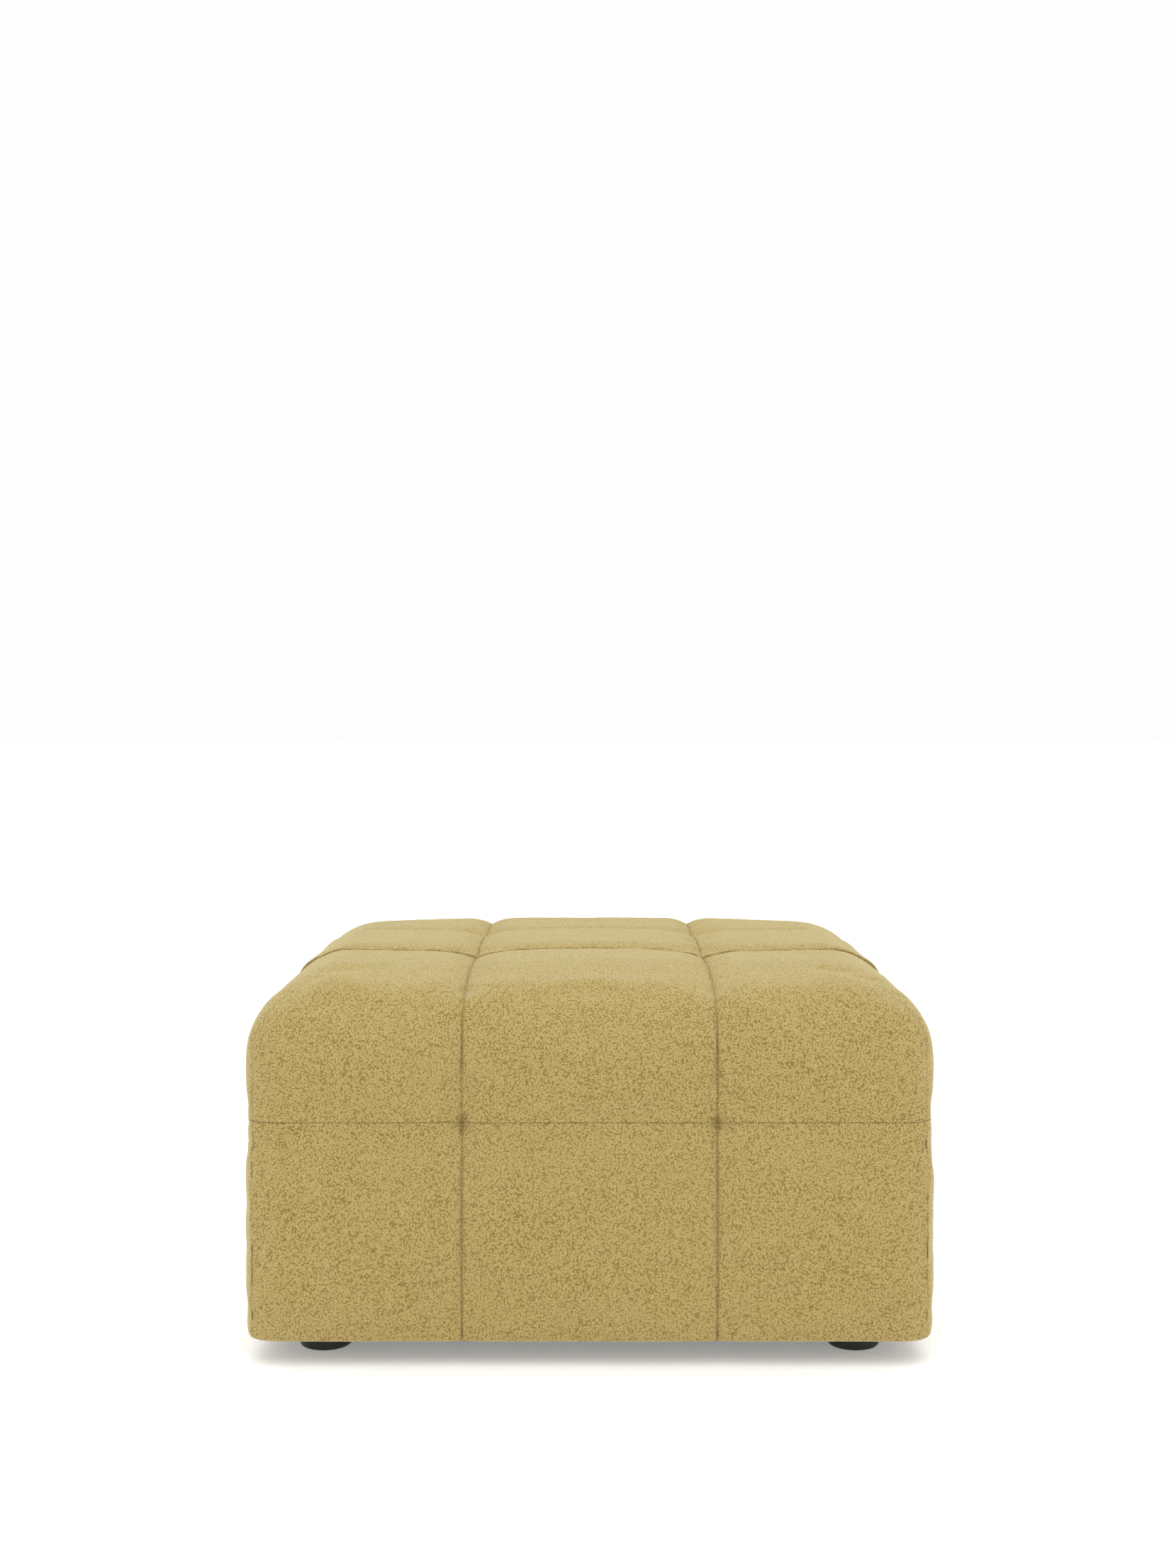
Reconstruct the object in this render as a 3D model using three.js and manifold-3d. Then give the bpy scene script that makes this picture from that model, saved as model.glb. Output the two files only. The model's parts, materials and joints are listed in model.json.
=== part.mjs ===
// Square upholstered ottoman with a hinged padded lid over a storage box.
// Millimetres, +Z up, the front is -Y, the origin is on the floor under the middle.
import * as THREE from 'three';
import { mergeVertices } from 'three/addons/utils/BufferGeometryUtils.js';
import Module from 'manifold-3d';

const wasm = await Module();
wasm.setup();

// ---- driving dimensions ------------------------------------------------------------------
const HALF = 400;              // half of the square plan
const TOP = 452;               // crest of the lid
const CORNER = 28;             // plan radius of the upright corners
const SHOULDER_R = 80;         // radius of the lid's shoulders
const EDGE = 8;                // rounding where the covers fold under and over
const GAP = 0.3;               // clearance between touching pieces
const SKIN = 1.5;              // cover cloth
const PLY = 15;                // box walls
const PAD = 20;                // foam and cloth outside the walls
const FRAME = HALF - PAD;      // outer face of the walls and the lid's rails
const INNER = FRAME - PLY;     // inner face of the walls

const FOOT_R = 32;
const FOOT_H = 28;
const FOOT_AT = 319;           // foot centres in x and y
const FOOT_BLOCK = 88;         // pine blocks the feet screw into
const CLOTH_Z = FOOT_H + GAP;  // dust cloth under the box
const COVER_Z = 29.5;          // box cover's lowest face
const WALL_Z = 31;
const FLOOR_Z = 54.3;
const FLOOR_T = 10;
const RIM_Z = 283;             // top of the box cover
const WALL_TOP = RIM_Z - 1.3;

const AXIS_Y = 396;            // hinge axis
const AXIS_Z = 285;
const KNUCKLE_R = 4;
const PIN_R = 2;
const LEAF_T = 1.4;
const HINGE_LONG = 64;
const HINGE_X = 220;
const LEAF_FRONT = 345;        // front edge of both leaves

const LID_CLOTH_Z = 287;
const LID_Z = 287.9;           // lid cover's lowest face
const RAIL_Z = 289.2;
const RAIL_H = 30;
const RAIL_W = 45;
const DECK_T = 9;
const CORE_TOP = 400;          // firm foam ends, soft pad begins

const STRUT_X = 346;           // plane of each gas strut
const STRUT_B = { y: 340.73, z: 92.28 };   // pivot on the box
const STRUT_L = { y: 196, z: 271 };        // pivot on the lid
const TUBE_R = 7;
const TUBE_LONG = 199;
const BORE_R = 3.7;
const ROD_R = 3;
const ROD_LONG = 198;
const EYE_R = 8;
const EYE_W = 8;
const STUD_R = 3;

// ---- materials ---------------------------------------------------------------------------
const finish = (color, roughness, metalness = 0) =>
  new THREE.MeshStandardMaterial({ color, roughness, metalness });
const BOUCLE = finish(0xb9a468, 0.95);
const FOAM = finish(0xe9e2c8, 0.9);
const PLYWOOD = finish(0xc9a878, 0.7);
const PINE = finish(0xd8b988, 0.7);
const BLACK_CLOTH = finish(0x1c1b1a, 0.95);
const LINING = finish(0x2a2725, 0.9);
const BLACK_PLASTIC = finish(0x141414, 0.5);
const RUBBER = finish(0x202020, 0.8);
const ZINC = finish(0xb8bcc0, 0.35, 1);
const DARK_STEEL = finish(0x26282b, 0.35, 1);
const CHROME = finish(0xd9dcdf, 0.15, 1);

// ---- solids ------------------------------------------------------------------------------
const object = new THREE.Group();

// A closed three.js geometry as a manifold solid.
function solid(geometry) {
  const bare = geometry.clone();
  bare.deleteAttribute('normal');
  bare.deleteAttribute('uv');
  const joined = mergeVertices(bare, 1e-4);
  return new wasm.Manifold(new wasm.Mesh({
    numProp: 3,
    vertProperties: new Float32Array(joined.attributes.position.array),
    triVerts: new Uint32Array(joined.index.array),
  }));
}

// A manifold solid, or a plain geometry, as a named mesh of the object.
function place(name, shape, material) {
  let geometry = shape;
  if (!shape.isBufferGeometry) {
    const mesh = shape.getMesh();
    geometry = new THREE.BufferGeometry();
    geometry.setAttribute('position', new THREE.BufferAttribute(mesh.vertProperties, 3));
    geometry.setIndex(new THREE.BufferAttribute(mesh.triVerts, 1));
    geometry.computeVertexNormals();
  }
  const mesh = new THREE.Mesh(geometry, material);
  mesh.name = name;
  object.add(mesh);
  return mesh;
}

// Box between two corners.
function box(x0, y0, z0, x1, y1, z1) {
  return new THREE.BoxGeometry(x1 - x0, y1 - y0, z1 - z0)
    .translate((x0 + x1) / 2, (y0 + y1) / 2, (z0 + z1) / 2);
}

// Cylinder along x, from x0 to x1, round the line through (y, z).
function barX(radius, x0, x1, y, z, sides = 18) {
  return new THREE.CylinderGeometry(radius, radius, Math.abs(x1 - x0), sides)
    .rotateZ(Math.PI / 2).translate((x0 + x1) / 2, y, z);
}

// Cylinder along z.
function barZ(radius, z0, z1, x, y, sides = 18) {
  return new THREE.CylinderGeometry(radius, radius, z1 - z0, sides)
    .rotateX(Math.PI / 2).translate(x, y, (z0 + z1) / 2);
}

// Square plan with round corners.
function roundedPlan(half, radius) {
  const plan = new THREE.Shape();
  const flat = half - radius;
  plan.absarc(flat, -flat, radius, -Math.PI / 2, 0);
  plan.absarc(flat, flat, radius, 0, Math.PI / 2);
  plan.absarc(-flat, flat, radius, Math.PI / 2, Math.PI);
  plan.absarc(-flat, -flat, radius, Math.PI, 1.5 * Math.PI);
  plan.closePath();
  return plan;
}

// Upright block on that plan, with its top and bottom edges rounded by edge.
function cushionBlock(half, radius, z0, z1, edge = 0) {
  const settings = { depth: z1 - z0 - 2 * edge, curveSegments: 5, bevelEnabled: edge > 0 };
  Object.assign(settings, { bevelSize: edge, bevelThickness: edge, bevelOffset: -edge, bevelSegments: 2 });
  return new THREE.ExtrudeGeometry(roundedPlan(half, radius), settings).translate(0, 0, z0 + edge);
}

// Height profile of the lid, drawn in by inset, from its base height z0: upright sides, then round shoulders.
function lidProfile(inset, z0) {
  const out = HALF - inset;
  const turn = SHOULDER_R - inset;
  const knee = TOP - SHOULDER_R;
  const profile = new THREE.Shape();
  profile.moveTo(out - EDGE, z0);
  profile.quadraticCurveTo(out, z0, out, z0 + EDGE);
  profile.absarc(out - turn, knee, turn, 0, Math.PI / 2);
  profile.absarc(-out + turn, knee, turn, Math.PI / 2, Math.PI);
  profile.lineTo(-out, z0 + EDGE);
  profile.quadraticCurveTo(-out, z0, -out + EDGE, z0);
  profile.closePath();
  return profile;
}

// Domed lid volume: the same profile seen from the front and from the side, with round corners.
function lidVolume(inset, z0) {
  const long = 2 * HALF + 20;
  const settings = { depth: long, curveSegments: 7, bevelEnabled: false };
  const outline = () => new THREE.ExtrudeGeometry(lidProfile(inset, z0), settings)
    .translate(0, 0, -long / 2).rotateX(Math.PI / 2);
  const alongY = solid(outline());
  const alongX = solid(outline().rotateZ(Math.PI / 2));
  const corners = solid(cushionBlock(HALF - inset, CORNER - inset, 0, TOP + 20));
  return alongY.intersect(alongX).intersect(corners);
}

// One quarter of the plan, from the middle out to one side: 0 front, 1 right, 2 back, 3 left.
function quarter(side, z0, z1) {
  const far = HALF + 100;
  const wedge = new THREE.Shape([
    new THREE.Vector2(0, -GAP),
    new THREE.Vector2(-far + GAP, -far),
    new THREE.Vector2(far - GAP, -far),
  ]);
  const block = new THREE.ExtrudeGeometry(wedge, { depth: z1 - z0, bevelEnabled: false });
  return solid(block.translate(0, 0, z0).rotateZ(side * Math.PI / 2));
}

const SIDES = ['front', 'right', 'back', 'left'];

// Room for the hinge knuckles, cut out of both covers.
function hingePockets(piece, z0, z1) {
  let cut = piece;
  for (const x of [-HINGE_X, HINGE_X]) {
    const reach = HINGE_LONG / 2 + 1.5;
    cut = cut.subtract(solid(box(x - reach, 389, z0, x + reach, HALF + 5, z1)));
  }
  return cut;
}

// ---- box ---------------------------------------------------------------------------------
function boxWalls() {
  const side = FRAME - PLY - GAP;
  place('base_front_panel', box(-FRAME, -FRAME, WALL_Z, FRAME, -INNER, WALL_TOP), PLYWOOD);
  place('base_back_panel', box(-FRAME, INNER, WALL_Z, FRAME, FRAME, WALL_TOP), PLYWOOD);
  place('base_left_panel', box(-FRAME, -side, WALL_Z, -INNER, side, WALL_TOP), PLYWOOD);
  place('base_right_panel', box(INNER, -side, WALL_Z, FRAME, side, WALL_TOP), PLYWOOD);
}

function boxFloor() {
  const reach = INNER - GAP;
  place('base_floor_panel', box(-reach, -reach, FLOOR_Z, reach, reach, FLOOR_Z + FLOOR_T), PLYWOOD);
  place('floor_centre_rail', box(-22, -reach, WALL_Z, 22, reach, FLOOR_Z - GAP), PINE);
}

// Thin cloth bag of the bin, open at the top.
function binLining() {
  const out = INNER - GAP;
  const low = FLOOR_Z + FLOOR_T + GAP;
  const high = RIM_Z - 1.5;
  const shell = solid(box(-out, -out, low, out, out, high));
  const hollow = solid(box(-out + 1.4, -out + 1.4, low + 1.4, out - 1.4, out - 1.4, high + 5));
  place('bin_lining', shell.subtract(hollow), LINING);
}

function hingeBatten() {
  place('hinge_batten', box(-330, 335, 256, 330, 363, RIM_Z - 0.1), PINE);
}

function boxPads() {
  const block = solid(cushionBlock(HALF - SKIN - GAP, CORNER - SKIN - GAP, WALL_Z, WALL_TOP, EDGE));
  const core = solid(box(-FRAME - GAP, -FRAME - GAP, 0, FRAME + GAP, FRAME + GAP, TOP));
  const ring = block.subtract(core);
  SIDES.forEach((name, side) => {
    place(`base_${name}_pad`, ring.intersect(quarter(side, 0, TOP)), FOAM);
  });
}

function boxCover() {
  const outer = solid(cushionBlock(HALF, CORNER, COVER_Z, RIM_Z, EDGE));
  const inner = solid(cushionBlock(HALF - SKIN, CORNER - SKIN, COVER_Z + 1, RIM_Z - 1, EDGE - 1));
  const mouth = solid(box(-INNER - 1, -INNER - 1, 0, INNER + 1, INNER + 1, TOP));
  const cover = outer.subtract(inner).subtract(mouth);
  place('base_cover', hingePockets(cover, AXIS_Z - 5.5, TOP), BOUCLE);
}

function rimBumpers() {
  for (const [name, x] of [['left', -300], ['right', 300]]) {
    const bumper = barZ(6, RIM_Z + GAP, LID_CLOTH_Z - GAP, x, -FRAME + PLY / 2 - 0.5);
    place(`rim_bumper_${name}`, bumper, RUBBER);
  }
}

// ---- feet --------------------------------------------------------------------------------
const FEET = [['front_left', -1, -1], ['front_right', 1, -1], ['back_left', -1, 1], ['back_right', 1, 1]];
const SCREW_R = 2.7;

// Turned foot with a bore and a recess for the screw head.
function footShape() {
  const points = [
    [3.2, 12], [9, 12], [9, 0], [FOOT_R - 3, 0], [FOOT_R - 1.2, 1], [FOOT_R - 0.6, 3],
    [FOOT_R, FOOT_H - 1.2], [FOOT_R - 1.2, FOOT_H], [3.2, FOOT_H], [3.2, 12],
  ];
  return new THREE.LatheGeometry(points.map(([r, z]) => new THREE.Vector2(r, z)), 32).rotateX(Math.PI / 2);
}

function screwShape() {
  const points = [[0, 8], [6, 8], [7.5, 9.5], [7.5, 11.7], [SCREW_R, 11.7], [SCREW_R, 46], [0, 50]];
  return new THREE.LatheGeometry(points.map(([r, z]) => new THREE.Vector2(r, z)), 12).rotateX(Math.PI / 2);
}

function feetAndBlocks() {
  const inner = INNER - GAP;
  const hole = () => new THREE.CylinderGeometry(3.2, 3.2, 40, 20).rotateX(Math.PI / 2);
  for (const [name, sx, sy] of FEET) {
    place(`foot_${name}`, footShape().translate(sx * FOOT_AT, sy * FOOT_AT, 0), BLACK_PLASTIC);
    place(`foot_screw_${name}`, screwShape().translate(sx * FOOT_AT, sy * FOOT_AT, 0), ZINC);
    const xs = [sx * inner, sx * (inner - FOOT_BLOCK)].sort((a, b) => a - b);
    const ys = [sy * inner, sy * (inner - FOOT_BLOCK)].sort((a, b) => a - b);
    const block = solid(box(xs[0], ys[0], WALL_Z, xs[1], ys[1], FLOOR_Z - GAP));
    const bored = block.subtract(solid(hole().translate(sx * FOOT_AT, sy * FOOT_AT, WALL_Z)));
    place(`foot_block_${name}`, bored, PINE);
  }
}

function dustCloth() {
  const reach = FRAME - 8;
  let cloth = solid(box(-reach, -reach, CLOTH_Z, reach, reach, CLOTH_Z + 0.9));
  for (const [, sx, sy] of FEET) {
    cloth = cloth.subtract(solid(barZ(3.2, 0, 60, sx * FOOT_AT, sy * FOOT_AT, 20)));
  }
  place('bottom_cloth', cloth, BLACK_CLOTH);
}

// ---- lid ---------------------------------------------------------------------------------
function lidFrame() {
  const top = RAIL_Z + RAIL_H;
  const inner = FRAME - RAIL_W;
  place('lid_front_rail', box(-FRAME, -FRAME, RAIL_Z, FRAME, -inner, top), PINE);
  place('lid_back_rail', box(-FRAME, inner, RAIL_Z, FRAME, FRAME, top), PINE);
  place('lid_left_rail', box(-FRAME, -inner + GAP, RAIL_Z, -inner, inner - GAP, top), PINE);
  place('lid_right_rail', box(inner, -inner + GAP, RAIL_Z, FRAME, inner - GAP, top), PINE);
  place('lid_cross_rail', box(-RAIL_W / 2, -inner + GAP, RAIL_Z, RAIL_W / 2, inner - GAP, top), PINE);
  place('lid_deck', box(-FRAME, -FRAME, top + GAP, FRAME, FRAME, top + GAP + DECK_T), PLYWOOD);
}

function lidFoam() {
  const filling = lidVolume(3, RAIL_Z + 0.6);
  const deckTop = RAIL_Z + RAIL_H + 2 * GAP + DECK_T;
  const wide = HALF + 50;
  const slab = (z0, z1) => solid(box(-wide, -wide, z0, wide, wide, z1));
  const frame = solid(box(-FRAME - GAP, -FRAME - GAP, 0, FRAME + GAP, FRAME + GAP, TOP + 50));
  const ring = filling.subtract(frame);
  SIDES.forEach((name, side) => {
    place(`lid_${name}_pad`, ring.intersect(quarter(side, 0, deckTop - GAP)), FOAM);
  });
  place('lid_foam_core', filling.intersect(slab(deckTop, CORE_TOP)), FOAM);
  place('lid_top_pad', filling.intersect(slab(CORE_TOP + GAP, TOP + 20)), FOAM);
}

function lidCover() {
  const outer = lidVolume(0, LID_Z);
  const inner = lidVolume(SKIN, LID_Z + 1);
  const mouth = solid(box(-350, -350, 0, 350, 350, LID_Z + 5));
  place('lid_cover', hingePockets(outer.subtract(inner).subtract(mouth), 0, AXIS_Z + 5.5), BOUCLE);
}

function lidUnderside() {
  const reach = FRAME - 8;
  place('lid_underside_cloth', box(-reach, -reach, LID_CLOTH_Z, reach, reach, LID_CLOTH_Z + 0.6), BLACK_CLOTH);
}

// ---- hinges ------------------------------------------------------------------------------
const KNUCKLES = 5;

// Leaf plate with its share of the knuckles: the box leaf has the even ones, the lid leaf the odd ones.
function hingeLeaf(x, parity, z0) {
  const pitch = HINGE_LONG / KNUCKLES;
  const left = x - HINGE_LONG / 2;
  const clear = AXIS_Y - KNUCKLE_R - 0.6;
  let leaf = solid(box(left, LEAF_FRONT, z0, left + HINGE_LONG, clear, z0 + LEAF_T));
  for (let k = parity; k < KNUCKLES; k += 2) {
    const x0 = left + k * pitch + 0.2;
    const x1 = left + (k + 1) * pitch - 0.2;
    leaf = leaf.add(solid(box(x0, clear - 1, z0, x1, AXIS_Y, z0 + LEAF_T)));
    leaf = leaf.add(solid(barX(KNUCKLE_R, x0, x1, AXIS_Y, AXIS_Z)));
  }
  leaf = leaf.subtract(solid(barX(PIN_R + GAP + 0.05, left - 5, left + HINGE_LONG + 5, AXIS_Y, AXIS_Z)));
  for (const [dx, y] of [[-22, 355], [0, 372], [22, 355]]) {
    leaf = leaf.subtract(solid(barZ(2.2, z0 - 5, z0 + 5, x + dx, y, 16)));
  }
  return leaf;
}

function hinges() {
  for (const [name, x] of [['left', -HINGE_X], ['right', HINGE_X]]) {
    place(`hinge_${name}_box_leaf`, hingeLeaf(x, 0, RIM_Z + 0.25), ZINC);
    place(`hinge_${name}_lid_leaf`, hingeLeaf(x, 1, AXIS_Z + GAP), ZINC);
    const half = HINGE_LONG / 2;
    const pin = solid(barX(PIN_R, x - half - 0.5, x + half + 0.5, AXIS_Y, AXIS_Z))
      .add(solid(barX(PIN_R + 1, x - half - 1.2, x - half - 0.3, AXIS_Y, AXIS_Z)))
      .add(solid(barX(PIN_R + 1, x + half + 0.3, x + half + 1.2, AXIS_Y, AXIS_Z)));
    place(`hinge_${name}_pin`, pin, ZINC);
  }
}

// ---- gas struts --------------------------------------------------------------------------
const STRUT_TILT = Math.atan2(STRUT_L.z - STRUT_B.z, STRUT_L.y - STRUT_B.y);

// Stud with a collar at the plate side and a head at the free side, along x at (y, z).
function stud(sx, plateX, at) {
  const near = STRUT_X + EYE_W / 2 + GAP;
  const far = STRUT_X - EYE_W / 2 - GAP;
  return solid(barX(STUD_R, sx * (far - 2), sx * plateX, at.y, at.z))
    .add(solid(barX(5, sx * near, sx * plateX, at.y, at.z)))
    .add(solid(barX(5, sx * (far - 2.2), sx * far, at.y, at.z)));
}

// Bar with an eye round the origin; it runs along +y, still to be turned and moved.
function eyeBar(radius, long) {
  const eye = solid(barX(EYE_R, -EYE_W / 2, EYE_W / 2, 0, 0));
  const bar = solid(new THREE.CylinderGeometry(radius, radius, long - 5, 24).translate(0, 5 + (long - 5) / 2, 0));
  return eye.add(bar).subtract(solid(barX(STUD_R + GAP, -EYE_W, EYE_W, 0, 0)));
}

function struts() {
  const turn = THREE.MathUtils.radToDeg(STRUT_TILT);
  for (const [name, sx] of [['left', -1], ['right', 1]]) {
    const bore = new THREE.CylinderGeometry(BORE_R, BORE_R, TUBE_LONG, 24).translate(0, 25 + TUBE_LONG / 2, 0);
    const tube = eyeBar(TUBE_R, TUBE_LONG).subtract(solid(bore));
    const rod = eyeBar(ROD_R, ROD_LONG);
    place(`strut_${name}_tube`, tube.rotate([turn, 0, 0])
      .translate([sx * STRUT_X, STRUT_B.y, STRUT_B.z]), DARK_STEEL);
    place(`strut_${name}_rod`, rod.rotate([turn + 180, 0, 0])
      .translate([sx * STRUT_X, STRUT_L.y, STRUT_L.z]), CHROME);

    const wall = INNER - GAP - 1.4 - GAP;
    const [w0, w1] = [sx * (wall - 1.5), sx * wall].sort((a, b) => a - b);
    const { y, z } = STRUT_B;
    const boxPlate = solid(box(w0, y - 21, z - 20, w1, y + 21, z + 20));
    place(`strut_${name}_box_bracket`, boxPlate.add(stud(sx, wall - 0.5, STRUT_B)), ZINC);

    const earOut = 357;
    const [e0, e1] = [sx * (earOut - 2.4), sx * earOut].sort((a, b) => a - b);
    const [p0, p1] = [sx * 338, sx * earOut].sort((a, b) => a - b);
    const [ly, lz] = [STRUT_L.y, STRUT_L.z];
    const lidPlate = solid(box(p0, ly - 26, AXIS_Z - 0.1, p1, ly + 26, LID_CLOTH_Z - GAP))
      .add(solid(box(e0, ly - 9, lz - 9, e1, ly + 9, AXIS_Z + 0.5)));
    place(`strut_${name}_lid_bracket`, lidPlate.add(stud(sx, earOut - 0.5, STRUT_L)), ZINC);
  }
}

boxWalls();
boxFloor();
binLining();
hingeBatten();
boxPads();
boxCover();
rimBumpers();
feetAndBlocks();
dustCloth();
lidFrame();
lidFoam();
lidCover();
lidUnderside();
hinges();
struts();

export default object;
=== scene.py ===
"""Square upholstered ottoman: padded hinged lid, storage box, lining, fittings and the stage they stand on."""
import json
import math

import bmesh
import bpy
import numpy as np
from mathutils import Matrix, Vector


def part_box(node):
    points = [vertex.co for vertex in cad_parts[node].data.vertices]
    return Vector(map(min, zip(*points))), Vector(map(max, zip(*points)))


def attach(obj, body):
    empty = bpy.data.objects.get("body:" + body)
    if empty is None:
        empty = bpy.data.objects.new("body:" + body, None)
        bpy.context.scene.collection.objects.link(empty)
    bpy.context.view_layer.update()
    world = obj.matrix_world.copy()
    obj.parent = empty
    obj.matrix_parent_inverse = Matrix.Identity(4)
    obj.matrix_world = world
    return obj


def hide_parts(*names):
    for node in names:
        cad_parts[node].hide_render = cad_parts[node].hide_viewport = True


bl_info = {
    "name": "Storage ottoman",
    "version": (1, 0, 0),
    "blender": (4, 5, 0),
    "location": "View3D > Sidebar > Ottoman",
    "description": "Upholstery, lining and fittings of a square ottoman with a hinged lid",
    "category": "Object",
}

MM = 0.001
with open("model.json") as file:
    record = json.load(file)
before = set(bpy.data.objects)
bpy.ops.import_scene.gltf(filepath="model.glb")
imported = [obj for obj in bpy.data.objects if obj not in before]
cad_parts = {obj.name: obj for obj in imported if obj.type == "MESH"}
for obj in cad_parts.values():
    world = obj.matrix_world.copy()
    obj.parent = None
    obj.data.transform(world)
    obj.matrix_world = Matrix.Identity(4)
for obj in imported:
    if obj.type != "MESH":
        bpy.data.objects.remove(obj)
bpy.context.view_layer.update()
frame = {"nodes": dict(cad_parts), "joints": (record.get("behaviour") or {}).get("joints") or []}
LID_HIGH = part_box("lid_cover")[1]
BOX_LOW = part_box("base_cover")[0]
HALF = LID_HIGH.x
HINGE = Vector(next(j["pos_m"] for j in frame["joints"] if j["name"] == "lid_hinge"))
SEAM_Z = HINGE.z
SIDES = ("front", "right", "back", "left")
CORNERS = [f"{end}_{side}" for end in ("front", "back") for side in ("left", "right")]
EDGE_ROLL = 9 * MM          # radius where the covers fold under, and along the back of the parting line
PARTING_GAP = 0.12 * MM     # each cover's distance from the parting line
SEAM_WIDTH = 0.5 * MM       # points this near a sewn line lie on it


# ---- settings ----------------------------------------------------------------------------
def length(name, description, default, low, high):
    return bpy.props.FloatProperty(
        name=name, description=description, unit="LENGTH", default=default, min=low, max=high)


def number(name, description, default, low, high):
    return bpy.props.FloatProperty(name=name, description=description, default=default, min=low, max=high)


def colour(name, description, default):
    return bpy.props.FloatVectorProperty(
        name=name, description=description, subtype="COLOR", size=3, default=default, min=0, max=1)


class OttomanCloth(bpy.types.PropertyGroup):
    light: colour("Curl colour", "Colour on top of the curls", (0.455, 0.350, 0.133))
    # the crevice colour is painted shade: the shade that falls between the curls
    dark: colour("Crevice shade colour", "Colour between the curls", (0.240, 0.160, 0.040))
    curl: length("Pile size", "Scale of the pile; one curl is a little over half as wide",
                 3.7 * MM, 0.5 * MM, 20 * MM)


class OttomanPadding(bpy.types.PropertyGroup):
    seam_x: length("Long seams", "Distance of the front-to-back seams from the middle", 149 * MM, 0.05, 0.3)
    seam_y: length("Cross seams", "Distance of the left-to-right seams from the middle", 104 * MM, 0.05, 0.3)
    step: length("Cloth step", "Grid step of the cloth before it is smoothed", 11 * MM, 0.004, 0.05)
    shoulder: length("Shoulder", "Radius of the lid's shoulders", 80 * MM, 0.02, 0.15)
    corner: length("Corner", "Plan radius of the upright corners", 32 * MM, 0.005, 0.1)
    crown: length("Crown", "Height of the cushion's crest over the frame's cover", -2.6 * MM, -0.02, 0.02)
    sag: length("Sag", "How much the front and back panels fall off towards their shoulders", 12 * MM, 0, 0.03)
    puff: length("Puff", "How far the side walls stand off the frame", 4.2 * MM, 0, 0.01)
    parting: length("Parting edge", "Radius of the edges that meet at the parting line", 1.2 * MM, 0.0005, 0.009)
    pressure: number("Filling pressure", "Pressure that swells the cloth between its seams", 3.0, 0, 20)
    cap: length("Swelling cap", "Furthest that a point of the cloth may move", 6 * MM, 0, 0.05)


class OttomanStage(bpy.types.PropertyGroup):
    lens: number("Lens", "Focal length of the camera in millimetres", 41.83, 10, 200)
    distance: length("Distance", "Camera to the front of the ottoman", 2.128, 0.5, 10)
    height: length("Height", "Height of the camera over the floor", 0.755, 0.05, 3)
    glow: number("Floor glow", "Light that the floor gives off by itself", 0.24, 0, 2)
    shift: number("Shift", "Vertical shift of the lens", -0.041, -0.5, 0.5)


def cloth():
    return bpy.context.scene.ottoman_cloth


def padding():
    return bpy.context.scene.ottoman_padding


# ---- shader groups -----------------------------------------------------------------------
def start_group(name, inputs, outputs):
    """An empty node group with named sockets: its tree, its input node and its output node."""
    tree = bpy.data.node_groups.new(name, "ShaderNodeTree")
    for label, kind, default in inputs:
        socket = tree.interface.new_socket(label, in_out="INPUT", socket_type=kind)
        if default is not None:
            socket.default_value = default
    for label, kind in outputs:
        tree.interface.new_socket(label, in_out="OUTPUT", socket_type=kind)
    return tree, tree.nodes.new("NodeGroupInput"), tree.nodes.new("NodeGroupOutput")


def rgba(colour):
    return (*colour, 1.0)


def two_tone_group(name, size, scale, light, dark):
    """An empty group that is to mix two colours: its tree, vector, scale, light, dark and output node."""
    tree, given, made = start_group(
        name,
        [("Vector", "NodeSocketVector", None), (size, "NodeSocketFloat", scale),
         ("Light", "NodeSocketColor", rgba(light)), ("Dark", "NodeSocketColor", rgba(dark))],
        [("Color", "NodeSocketColor"), ("Height", "NodeSocketFloat")])
    return (tree, *(given.outputs[label] for label in ("Vector", size, "Light", "Dark")), made)


def give_out(tree, made, **values):
    for label, value in values.items():
        tree.links.new(value, made.inputs[label])
    return tree


def feed(tree, socket, value):
    """Links a socket's value, or sets a plain one."""
    if isinstance(value, bpy.types.NodeSocket):
        tree.links.new(value, socket)
    else:
        socket.default_value = value


def math_node(tree, operation, a, b=None, clamp=False):
    node = tree.nodes.new("ShaderNodeMath")
    node.operation, node.use_clamp = operation, clamp
    feed(tree, node.inputs[0], a)
    if b is not None:
        feed(tree, node.inputs[1], b)
    return node.outputs[0]


def product(tree, a, b):
    return math_node(tree, "MULTIPLY", a, b)


def mix_colour(tree, factor, a, b):
    node = tree.nodes.new("ShaderNodeMix")
    node.data_type = "RGBA"
    for index, value in ((0, factor), (6, a), (7, b)):
        feed(tree, node.inputs[index], value)
    return node.outputs[2]


def noise(tree, vector, scale, detail=2.0, roughness=0.5, distortion=0.0):
    node = tree.nodes.new("ShaderNodeTexNoise")
    for label, value in (("Detail", detail), ("Roughness", roughness), ("Distortion", distortion),
                         ("Vector", vector), ("Scale", scale)):
        feed(tree, node.inputs[label], value)
    return node.outputs["Fac"]


def cells(tree, vector, scale, randomness):
    """Distance from the middle of the nearest cell."""
    node = tree.nodes.new("ShaderNodeTexVoronoi")
    for label, value in (("Randomness", randomness), ("Vector", vector), ("Scale", scale)):
        feed(tree, node.inputs[label], value)
    return node.outputs["Distance"]


def spread(tree, value, low, high, to_low=0.0, to_high=1.0):
    """The value's range low..high eased onto the range to_low..to_high."""
    node = tree.nodes.new("ShaderNodeMapRange")
    node.interpolation_type = "SMOOTHSTEP"
    for label, given in (("Value", value), ("From Min", low), ("From Max", high),
                         ("To Min", to_low), ("To Max", to_high)):
        feed(tree, node.inputs[label], given)
    return node.outputs["Result"]


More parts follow.
